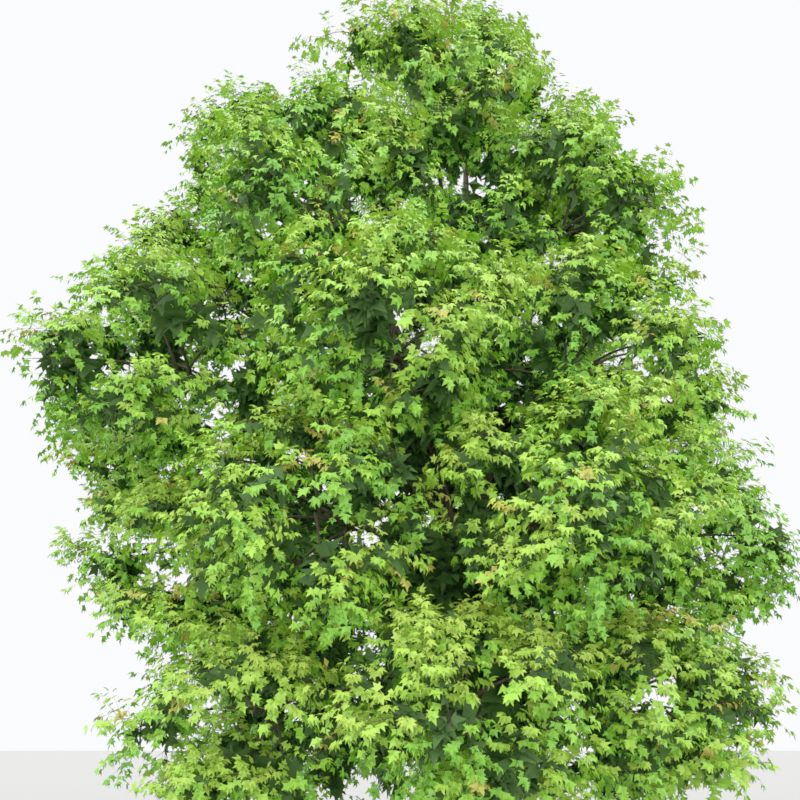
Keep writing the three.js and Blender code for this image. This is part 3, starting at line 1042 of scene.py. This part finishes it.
            # Painted light: sprays on the crown's open side are dealt lighter tints.
            open_side = self.light.open_side * (facing - self.light.usual_openness)
            lights.append(np.full(count, self.light.usual + own + open_side))
        root, way, light = np.concatenate(roots), np.concatenate(ways), np.concatenate(lights)
        length = self.twiglet_length * self.spread(self.twiglet_spread, len(root))
        way_out = unit(way + self.twiglet_shake * self.shaken(*way.shape))
        tip = root + way_out * length[:, None] - self.twiglet_droop * UP
        # Painted light: twiglets pointing up are dealt lighter tints, those pointing down darker.
        light = light + self.light.upward * way[:, 2]
        keep = self.inside(tip, self.twiglet_margin) & self.clear_of_limbs(tip)
        root, tip, light = root[keep], tip[keep], light[keep]
        self.keep_tubes(np.stack([root, tip], axis=1), np.full(2, self.twiglet_radius), self.fine_sides)
        return root, tip, light

    def deal_tints(self, tip: Array, light: Array) -> Array:
        """Deals each twiglet's spray a tint as painted light and shade: bright where it lies high and open,
        dark where it is shaded.

        Args:
            tip: The twiglets' tips.
            light: The lightness of each, from about 0 to 1.

        Returns:
            The index of each twiglet's tint.
        """
        # Painted light: sprays high on their mass get lighter tints; the spray term is random tone.
        height = (tip[:, 2] - self.mass.middle[2]) / self.mass.half[2]
        light = light + self.light.high * height + self.light.spray * self.shaken(len(tip))
        steps = self.light.steps
        tint = np.select([light > step for step in steps], list(range(len(steps))), Tint.DEEP.index)
        bronze = (light > self.light.bronze_from) & (self.rng.random(len(tip)) < self.light.bronze_share)
        return np.where(bronze, Tint.BRONZE.index, tint)

    def grow_leaves(self, root: Array, tip: Array, light: Array) -> list[Leaves]:
        """Sets leaves in opposite pairs along every twiglet, most of them in a rosette at its tip.

        Args:
            root: The twiglets' roots.
            tip: Their tips.
            light: The lightness of each.

        Returns:
            The lots of leaves.
        """
        tints = self.deal_tints(tip, light)
        axis = unit(tip - root)
        level_side = unit(np.cross(axis, UP) + TINY)
        upright_share, level_share = self.steep_mix
        steep_side = unit(upright_share * np.cross(level_side, axis) + level_share * level_side)
        outward_share, forward_share = self.outward_mix
        out = unit(outward_share * unit(tip - self.mass.middle) + forward_share * axis)
        lots = []
        for pair, share in enumerate(self.pair_shares):
            cross = steep_side if pair % 2 else level_side
            places = share + self.pair_shake * self.shaken(len(root))
            for sign in (-1, 1):
                way = self.pair_forward * axis + sign * cross
                lots.append(self.leaf_lot(root + (tip - root) * places[:, None], way, out, tints))
        lots.append(self.leaf_lot(tip, axis, out, tints))
        return lots

    def leaf_lot(self, root: Array, way: Array, out: Array, tints: Array) -> Leaves:
        """One leaf at each root, hanging from its stalk and turned to the light.

        Args:
            root: Where the stalks start.
            way: Which way each stalk leads.
            out: The direction out of the foliage at each.
            tints: The tint of each.

        Returns:
            The leaves.
        """
        count = len(root)
        hang = self.spread(self.hang_spread, count)[:, None]
        along = unit(way) - hang * UP + self.leaf_outward * out + self.leaf_shake * self.shaken(count, 3)
        face = self.face_upward * UP + self.face_outward * out + self.face_shake * self.shaken(count, 3)
        size = self.leaf_length * self.spread(self.leaf_spread, count)
        return self.squared(root, along, face, size, tints)

    def inner_lot(self, branchlets: Array, openness: Array) -> Leaves:
        """Large leaves along the branchlets, in the mass's heart and where it meets its neighbours, in the
        darkest tints as painted shade.

        Args:
            branchlets: The branchlets' places.
            openness: The openness of each.

        Returns:
            The leaves, the largest of them nearest to the mass's middle.
        """
        count = self.inner_leaves
        chance = self.inner_choice - openness
        chosen = self.rng.choice(len(branchlets), count, p=chance / chance.sum())
        corner = self.rng.integers(branchlets.shape[1] - 1, size=count)
        root = places_on(branchlets[chosen], corner, self.rng.random(count))
        depth = self.mass.depth(root)
        hidden = (openness[chosen] < self.inner_openness) | (depth < self.inner_depth)
        root, depth = root[hidden], depth[hidden]
        # Painted shade: a near-black green deep in the mass, the deep tint nearer its edge.
        tint = np.where(depth > self.shade_depth, Tint.DEEP.index, Tint.INNER.index)
        return self.shaded_lot(root, self.inner_scale - self.outward_shrink * depth, tint)

    def shaded_lot(self, root: Array, scale: Array, tint: Array) -> Leaves:
        """One shaded leaf at each root, facing any way.

        Args:
            root: Where the stalks start.
            scale: How large each leaf is, as a share of a shaded leaf's usual length.
            tint: The tint of each.

        Returns:
            The leaves.
        """
        count = len(root)
        along = unit(self.shaken(count, 3)) - self.shaded_hang * UP
        face = self.shaken(count, 3) * self.shaded_shake + UP
        size = self.inner_length * scale * self.spread(self.inner_spread, count)
        return self.squared(root, along, face, size, tint)

    @staticmethod
    def squared(root: Array, along: Array, face: Array, size: Array, tint: Array) -> Leaves:
        """Leaves whose faces are turned square to their length.

        Args:
            root: Where the stalks start.
            along: The way each leaf points, of any length.
            face: The way its face is turned, of any length.
            size: Each leaf's length.
            tint: The tint of each.

        Returns:
            The leaves.
        """
        along = unit(along)
        face = unit(face - along * np.sum(face * along, axis=1, keepdims=True))
        return Leaves(root, along, face, size, tint)

    def grow(self) -> Leaves:
        """Grows the whole mass.

        Returns:
            The leaves that keep to its space and clear of every limb. Its twigs wait in tubes.
        """
        shoots = self.grow_shoots(*self.grow_stem())
        branchlets, openness, lightness = self.grow_branchlets(shoots)
        root, tip, light = self.grow_twiglets(branchlets, openness, lightness)
        leaves = Leaves.joined([*self.grow_leaves(root, tip, light), self.inner_lot(branchlets, openness)])
        reach = leaves.root + leaves.along * (self.leaf_tip * leaves.size)[:, None]
        keep = self.inside(reach, self.leaf_margin) & (reach[:, 2] > self.ground_gap)
        keep &= self.clear_of_limbs(leaves.root)
        side = self.grow_side_shoots()
        return Leaves.joined([leaves.kept(keep), side.kept(self.clear_of_limbs(side.root))])


def new_material(name: str) -> tuple[bpy.types.Material, bpy.types.Node]:
    """Starts a material.

    Args:
        name: Its name.

    Returns:
        The material and its shader.
    """
    material = bpy.data.materials.new(name)
    material.use_nodes = True
    return material, material.node_tree.nodes["Principled BSDF"]


@dataclass(frozen=True)
class LeafFinish:
    """A leaf's finish: one plain base colour with a soft gloss, and the pattern that its leaves have."""

    tint: Tint
    colour: Triple
    pattern: LeafPattern
    roughness: float = 0.5
    gloss: float = 0.18

    def material(self) -> bpy.types.Material:
        """Makes the finish a material.

        Returns:
            The material.
        """
        material, shader = new_material(f"leaf_{self.tint.value}")
        shader.inputs["Base Color"].default_value = (*self.colour, 1)
        shader.inputs["Roughness"].default_value = self.roughness
        shader.inputs["Specular IOR Level"].default_value = self.gloss
        material.diffuse_color = (*self.colour, 1)
        return material


# The first five finishes are lit and shaded copies of one leaf green: the brightest is the painted sunlit
# tint and the darker ones are painted shade. Bronze is the young leaves' own colour, and the inner finish is
# a near-black green painted as the shade inside the crown.
LEAF_FINISHES = (
    LeafFinish(Tint.FRESH, (0.290, 0.525, 0.031), FULL_LEAF),
    LeafFinish(Tint.LIGHT, (0.262, 0.540, 0.027), PLAIN_LEAF),
    LeafFinish(Tint.MID, (0.222, 0.530, 0.021), SIMPLE_LEAF),
    LeafFinish(Tint.SHADE, (0.154, 0.455, 0.015), SIMPLE_LEAF),
    LeafFinish(Tint.DEEP, (0.096, 0.350, 0.011), SIMPLE_LEAF),
    LeafFinish(Tint.BRONZE, (0.395, 0.385, 0.037), SIMPLE_LEAF),
    LeafFinish(Tint.INNER, (0.027, 0.074, 0.012), SIMPLE_LEAF, roughness=0.85, gloss=0.1),
)


@dataclass(frozen=True)
class NodeWork:
    """Adds nodes to a node tree and joins them up."""

    tree: bpy.types.NodeTree

    def fill(self, node: bpy.types.Node, inputs: dict[str | int, object]) -> bpy.types.Node:
        """Fills a node's inputs.

        Args:
            node: The node.
            inputs: For each input's name or number, its value or the socket that feeds it.

        Returns:
            The node.
        """
        for key, value in inputs.items():
            if isinstance(value, bpy.types.NodeSocket):
                self.tree.links.new(value, node.inputs[key])
            else:
                node.inputs[key].default_value = value
        return node

    def add(self, kind: str, inputs: dict[str | int, object], **settings: object) -> bpy.types.Node:
        """Adds a node.

        Args:
            kind: The node's type.
            inputs: What fills its inputs, by their names or numbers.
            settings: Its own settings, such as its operation.

        Returns:
            The node.
        """
        node = self.tree.nodes.new(kind)
        for name, value in settings.items():
            setattr(node, name, value)
        return self.fill(node, inputs)

    def blend(self, share: bpy.types.NodeSocket, first: Triple | bpy.types.NodeSocket,
              second: Triple) -> bpy.types.NodeSocket:
        """Mixes two colours by a mask.

        Args:
            share: The mask.
            first: The colour where the mask is 0, as three numbers or a socket.
            second: The colour where it is 1, as three numbers.

        Returns:
            The mixed colour's socket.
        """
        below = first if isinstance(first, bpy.types.NodeSocket) else (*first, 1)
        mix = self.add("ShaderNodeMix", {}, data_type="RGBA")
        colour_a, colour_b, mixed = 6, 7, 2
        self.fill(mix, {"Factor": share, colour_a: below, colour_b: (*second, 1)})
        return mix.outputs[mixed]


@dataclass(frozen=True)
class BarkGrain:
    """The grain that all bark shares: long cracks, plates between them and a fine fleck.

    Sizes are in patterns to a metre, for bark of scale 1.
    """

    plates: float = 30
    fleck: float = 90
    fleck_detail: float = 6
    wander: float = 14
    wander_reach: float = 0.03
    crack_width: float = 0.12

    def group(self) -> bpy.types.ShaderNodeTree:
        """Makes the grain a node group.

        Returns:
            The group. It takes a scale and a stretch, and gives cracks, the plates' own shade and a fleck.
        """
        group = bpy.data.node_groups.new("bark_grain", "ShaderNodeTree")
        for name, start in (("Scale", 1.0), ("Stretch", 0.2)):
            socket = group.interface.new_socket(name=name, in_out="INPUT", socket_type="NodeSocketFloat")
            socket.default_value = start
        for name in ("Crack", "Plate", "Fleck"):
            group.interface.new_socket(name=name, in_out="OUTPUT", socket_type="NodeSocketFloat")
        work = NodeWork(group)
        given = work.add("NodeGroupInput", {}).outputs
        place = work.add("ShaderNodeTexCoord", {}).outputs["Object"]
        stretch = work.add("ShaderNodeCombineXYZ", {"X": 1, "Y": 1, "Z": given["Stretch"]})
        drawn = work.add("ShaderNodeVectorMath", {0: place, 1: stretch.outputs["Vector"]},
                         operation="MULTIPLY")
        scaled = work.add("ShaderNodeVectorMath", {0: drawn.outputs["Vector"], "Scale": given["Scale"]},
                          operation="SCALE").outputs["Vector"]
        wander = work.add("ShaderNodeTexNoise", {"Vector": scaled, "Scale": self.wander})
        reach = (self.wander_reach,) * 3
        bent = work.add("ShaderNodeVectorMath", {0: wander.outputs["Color"], 1: reach, 2: scaled},
                        operation="MULTIPLY_ADD").outputs["Vector"]
        on_plates = {"Vector": bent, "Scale": self.plates}
        cells = work.add("ShaderNodeTexVoronoi", on_plates, feature="DISTANCE_TO_EDGE")
        shades = work.add("ShaderNodeTexVoronoi", on_plates)
        fleck = work.add("ShaderNodeTexNoise",
                         {"Vector": scaled, "Scale": self.fleck, "Detail": self.fleck_detail})
        falling = {"From Max": self.crack_width, "To Min": 1, "To Max": 0}
        crack = work.add("ShaderNodeMapRange", {"Value": cells.outputs["Distance"], **falling})
        shade = work.add("ShaderNodeSeparateColor", {"Color": shades.outputs["Color"]})
        work.add("NodeGroupOutput", {"Crack": crack.outputs["Result"], "Plate": shade.outputs["Red"],
                                     "Fleck": fleck.outputs["Fac"]})
        return group


@dataclass(frozen=True)
class BarkFinish:
    """A bark's finish: plates of two shades, darker cracks between them, and a fleck in their roughness."""

    name: str
    plate: Triple
    paler_plate: Triple
    crack: Triple
    scale: float
    stretch: float
    bump: float
    bump_strength: float = 0.7
    roughness: Pair = (0.82, 0.98)
    gloss: float = 0.15

    def material(self, grain: bpy.types.ShaderNodeTree) -> bpy.types.Material:
        """Makes the finish a material.

        Args:
            grain: The shared bark grain.

        Returns:
            The material.
        """
        material, shader = new_material(self.name)
        work = NodeWork(material.node_tree)
        pattern = work.add("ShaderNodeGroup", {}, node_tree=grain)
        work.fill(pattern, {"Scale": self.scale, "Stretch": self.stretch})
        plates = work.blend(pattern.outputs["Plate"], self.plate, self.paler_plate)
        cracked = work.blend(pattern.outputs["Crack"], plates, self.crack)
        smoothest, roughest = self.roughness
        rough = work.add("ShaderNodeMapRange",
                         {"Value": pattern.outputs["Fleck"], "To Min": smoothest, "To Max": roughest})
        height = work.add("ShaderNodeMath", {0: pattern.outputs["Fleck"], 1: pattern.outputs["Crack"]},
                          operation="SUBTRACT")
        bump = work.add("ShaderNodeBump", {"Strength": self.bump_strength, "Distance": self.bump,
                                           "Height": height.outputs["Value"]})
        work.fill(shader, {"Base Color": cracked, "Roughness": rough.outputs["Result"],
                           "Normal": bump.outputs["Normal"], "Specular IOR Level": self.gloss})
        return material


TRUNK_FINISH = BarkFinish("trunk_bark", (0.060, 0.048, 0.033), (0.108, 0.088, 0.064), (0.010, 0.008, 0.005),
                          scale=1.0, stretch=0.28, bump=0.012)
# The boughs' bark is painted darker than the trunk's, as the shade they stand in within the crown.
BOUGH_FINISH = BarkFinish("bough_bark", (0.030, 0.024, 0.016), (0.052, 0.043, 0.030), (0.007, 0.006, 0.004),
                          scale=2.2, stretch=0.4, bump=0.005)
TWIG_FINISH = BarkFinish("twig_bark", (0.026, 0.022, 0.011), (0.044, 0.037, 0.019), (0.011, 0.009, 0.005),
                         scale=5.0, stretch=0.5, bump=0.001)


@dataclass
class BarkedLimb:
    """A limb's own mesh: a sleeve bent along its line, with the bark's ridges pushed out of it.

    A foot above 1 draws the rings closer together towards the limb's root. collar is how much thicker the
    root is than the limb's own radius, and collar_length the share of the limb over which that fades. The
    plates and cracks are measured in ridge widths.
    """

    limb: Limb
    segments: int
    rings: int
    ridge_depth: float
    ridge_width: float
    foot: float = 1.0
    collar: float = 0.55
    collar_length: float = 0.06
    plate_stretch: float = 0.3
    plate_bend: float = 0.5
    plate_bend_size: float = 0.7
    crack_width: float = 0.16
    lumps: float = 0.35
    lump_size: float = 3
    full_depth_radius: float = 0.1
    nudge: float = 1e-3

    @property
    def is_trunk(self) -> bool:
        """Whether the limb is the trunk."""
        return self.limb.parent is None

    def relief(self, place: Vector) -> float:
        """The bark's height at a place: rounded plates with narrow cracks between them.

        Args:
            place: A place on the limb before the bark is raised.

        Returns:
            The height, from about -1 in a crack to 0 on a plate.
        """
        spot = Vector((place.x, place.y, place.z * self.plate_stretch)) / self.ridge_width
        spot += self.plate_bend * noise.noise_vector(spot * self.plate_bend_size)
        near, next_near = noise.voronoi(spot)[0][:2]
        crack = math.exp(-((next_near - near) / self.crack_width) ** 2)
        return -crack + self.lumps * noise.noise(place * (self.lump_size / self.ridge_width))

    def sleeve(self) -> bmesh.types.BMesh:
        """A closed cylinder of length 1 with all its rings, to be bent along the limb.

        Returns:
            The cylinder.
        """
        sleeve = bmesh.new()
        bmesh.ops.create_cone(sleeve, cap_ends=True, segments=self.segments, radius1=1, radius2=1, depth=1)
        upright = [edge for edge in sleeve.edges if abs(edge.verts[0].co.z - edge.verts[1].co.z) > 0.5]
        bmesh.ops.subdivide_edges(sleeve, edges=upright, cuts=self.rings, use_grid_fill=True)
        return sleeve

    def radius(self, share: float, angle: float) -> float:
        """The limb's radius with its collar or root flare.

        Args:
            share: The share of its length.
            angle: The angle round it.

        Returns:
            The radius.
        """
        if self.is_trunk:
            return TrunkShape.flared(share * TrunkShape.HEIGHT, angle)
        collar = 1 + self.collar * math.exp(-share / self.collar_length)
        return float(self.limb.radius(np.array(share))) * collar

    def outward(self, share: float, centre: Array, angle: float) -> Vector:
        """The direction out of the limb's line.

        Args:
            share: The share of its length.
            centre: The place on its line there.
            angle: The angle round it.

        Returns:
            The direction, level for the trunk, so that its rings stay level too.
        """
        if self.is_trunk:
            return Vector((math.sin(angle), -math.cos(angle), 0))
        tangent = unit(self.limb.line(np.array(share + self.nudge)) - centre)
        over = np.cross(self.limb.side, tangent)
        return Vector(self.limb.side * math.sin(angle) + over * math.cos(angle))

    def mesh(self) -> bmesh.types.BMesh:
        """Bends the sleeve along the limb and raises the bark.

        Returns:
            The limb's mesh.
        """
        sleeve = self.sleeve()
        for vertex in sleeve.verts:
            share = (vertex.co.z + 0.5) ** self.foot
            angle = math.atan2(vertex.co.x, vertex.co.y)
            centre = self.limb.line(np.array(share))
            outward = self.outward(share, centre, angle)
            radius = self.radius(share, angle)
            place = Vector(centre) + outward * radius
            depth = self.ridge_depth * min(1, radius / self.full_depth_radius)
            vertex.co = place + outward * depth * self.relief(place)
            if self.is_trunk and share == 0:
                vertex.co.z = 0
        bmesh.ops.recalc_face_normals(sleeve, faces=sleeve.faces)
        return sleeve


@dataclass
class Wood:
    """The trunk and boughs in their bark. Its ridges are given by their depth and their width."""

    plan: CrownPlan
    trunk_segments: int = 84
    trunk_rings: int = 180
    trunk_ridges: Pair = (0.011, 0.045)
    trunk_foot: float = 1.35
    bough_segments: int = 12
    bough_rings: int = 38
    bough_ridges: Pair = (0.005, 0.022)
    bark_seed: int = 7

    def build(self, grain: bpy.types.ShaderNodeTree) -> None:
        """Makes the trunk one piece, and the boughs of each tier another.

        Args:
            grain: The shared bark grain.
        """
        noise.seed_set(self.bark_seed)
        trunk = BarkedLimb(self.plan.trunk, self.trunk_segments, self.trunk_rings, *self.trunk_ridges,
                           foot=self.trunk_foot)
        piece = self.joined([trunk.mesh()], "trunk_in_bark", TRUNK_FINISH.material(grain))
        set_on_tree(piece, ["trunk"])
        bark = BOUGH_FINISH.material(grain)
        for tier in TIERS:
            boughs = [bough for bough in self.plan.boughs if bough.name.split("_")[1] == tier.name]
            sleeves = [BarkedLimb(bough, self.bough_segments, self.bough_rings, *self.bough_ridges).mesh()
                       for bough in boughs]
            if boughs:
                piece = self.joined(sleeves, f"boughs_{tier.name}_in_bark", bark)
                set_on_tree(piece, [bough.name for bough in boughs])

    @staticmethod
    def joined(sleeves: list[bmesh.types.BMesh], name: str,
               material: bpy.types.Material) -> bpy.types.Object:
        """Joins bark sleeves to one smooth-shaded object.

        Args:
            sleeves: The sleeves. They are freed.
            name: The piece's name.
            material: Its material.

        Returns:
            The object.
        """
        mesh = bpy.data.meshes.new(name)
        joined = bmesh.new()
        for sleeve in sleeves:
            part = bpy.data.meshes.new("sleeve")
            sleeve.to_mesh(part)
            sleeve.free()
            joined.from_mesh(part)
            bpy.data.meshes.remove(part)
        for face in joined.faces:
            face.smooth = len(face.verts) <= 4
        joined.to_mesh(mesh)
        joined.free()
        mesh.materials.append(material)
        return placed(name, mesh)


@dataclass
class Foliage:
    """All the masses' twigs and leaves, joined tier by tier and tint by tint."""

    plan: CrownPlan
    limb_stations: int = 60
    stations_in_mass: int = 3
    nearby: float = 2.2
    size_margin: float = 0.012

    def nearby_limbs(self, mass: Mass) -> tuple[Array, Array]:
        """Places on the limbs near a mass.

        Args:
            mass: The mass.

        Returns:
            The places, and the limbs' radius at each. The mass's own bough is among them but for its tip.
        """
        points, radii = [], []
        for limb in [self.plan.trunk, *self.plan.boughs]:
            places, girths = limb.stations(self.limb_stations)
            if limb is mass.limb:
                places, girths = places[:-self.stations_in_mass], girths[:-self.stations_in_mass]
            near = np.linalg.norm(places - mass.middle, axis=1) < self.nearby
            points.append(places[near])
            radii.append(girths[near])
        return np.concatenate(points), np.concatenate(radii)

    def build(self, grain: bpy.types.ShaderNodeTree) -> None:
        """Grows every mass, and joins what grew.

        Args:
            grain: The shared bark grain.
        """
        bark = TWIG_FINISH.material(grain)
        green = [finish.material() for finish in LEAF_FINISHES]
        low, high = (np.array(corner) for corner in CAD_BOX)
        room = self.size_margin * (high - low)
        for tier in TIERS:
            masses = [mass for mass in self.plan.masses if mass.tier is tier]
            nodes = [f"foliage_{mass.name}" for mass in masses]
            growths = [MassGrowth(mass, *self.nearby_limbs(mass), low - room, high + room)
                       for mass in masses]
            leaves = Leaves.joined([growth.grow() for growth in growths])
            LOG.info("%s has %d leaves", tier.name, len(leaves.root))
            tubes = [grown_tubes(*tube) for growth in growths for tube in growth.tubes]
            set_on_tree(joined_piece(f"twigs_{tier.name}", bark, tubes), nodes)
            for finish, material in zip(LEAF_FINISHES, green):
                dealt = leaves.kept(leaves.tint == finish.tint.index)
                name = f"leaves_{tier.name}_{finish.tint.value}"
                set_on_tree(joined_piece(name, material, [finish.pattern.grown(dealt)]), nodes)


@dataclass
class Studio:
    """A plain pale floor, soft light from high in front, and the photograph's eye-level camera.

    Leaves are opaque here, so the view's gamma lifts the shade under them as light through leaves would.
    """

    eye: Triple = (-0.78, -10.0, 1.6)
    pitch: float = 19.2
    field_of_view: float = 47.0
    floor_size: float = 90.0
    floor_colour: Triple = (0.28, 0.28, 0.275)
    floor_roughness: float = 0.9
    backdrop: Triple = (0.93, 0.95, 0.97)
    ambient: float = 1.8
    sun_strength: float = 1.9
    sun_colour: Triple = (1.0, 0.985, 0.94)
    sun_spread: float = 90.0
    sun_elevation: float = 48.0
    sun_bearing: float = -15.0
    gamma: float = 1.65

    def build_floor(self) -> None:
        """Lays the floor."""
        grid = bmesh.new()
        bmesh.ops.create_grid(grid, x_segments=2, y_segments=2, size=self.floor_size / 2)
        mesh = bpy.data.meshes.new("floor")
        grid.to_mesh(mesh)
        grid.free()
        material, shader = new_material("floor")
        shader.inputs["Base Color"].default_value = (*self.floor_colour, 1)
        shader.inputs["Roughness"].default_value = self.floor_roughness
        mesh.materials.append(material)
        placed("floor", mesh)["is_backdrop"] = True

    def build_light(self) -> None:
        """Sets the soft sky, which the camera sees as a plain backdrop, and the main light."""
        world = bpy.data.worlds.new("studio")
        bpy.context.scene.world = world
        world.use_nodes = True
        work = NodeWork(world.node_tree)
        nodes = world.node_tree.nodes
        sky = work.fill(nodes["Background"], {"Color": (1, 1, 1, 1), "Strength": self.ambient})
        shown = work.add("ShaderNodeBackground", {"Color": (*self.backdrop, 1)})
        seen = work.add("ShaderNodeLightPath", {}).outputs["Is Camera Ray"]
        both = {"Fac": seen, 1: sky.outputs["Background"], 2: shown.outputs["Background"]}
        mix = work.add("ShaderNodeMixShader", both)
        work.fill(nodes["World Output"], {"Surface": mix.outputs["Shader"]})
        light = bpy.data.lights.new("main_light", "SUN")
        light.energy = self.sun_strength
        light.angle = math.radians(self.sun_spread)
        light.color = self.sun_colour
        tilt = math.radians(90 - self.sun_elevation)
        placed("main_light", light).rotation_euler = Euler((tilt, 0, math.radians(self.sun_bearing)))

    def build_camera(self) -> None:
        """Stands the camera where the photograph was taken."""
        lens = bpy.data.cameras.new("camera")
        lens.sensor_width = 36.0
        lens.angle = math.radians(self.field_of_view)
        camera = placed("camera", lens)
        camera.location = self.eye
        camera.rotation_euler = Euler((math.radians(90 + self.pitch), 0, 0))
        bpy.context.scene.camera = camera

    def build(self) -> None:
        """Sets up the whole studio."""
        self.build_floor()
        self.build_light()
        self.build_camera()
        bpy.context.scene.view_settings.view_transform = "Standard"
        bpy.context.scene.view_settings.gamma = self.gamma


def write_sizes() -> None:
    """Gathers the solids' box and the finished tree's box as plain lists; they are not written anywhere.
    """
    boxes = {"cad": CAD_BOX, "visual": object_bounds()}
    plain = {name: [list(corner) for corner in corners] for name, corners in boxes.items()}


def main() -> None:
    """Grows the tree and sets up the studio."""
    logging.basicConfig(level=logging.INFO, format="%(message)s")
    Studio().build()
    plan = CrownPlan()
    grain = BarkGrain().group()
    Wood(plan).build(grain)
    Foliage(plan).build(grain)
    write_sizes()


if __name__ == "__main__":
    main()
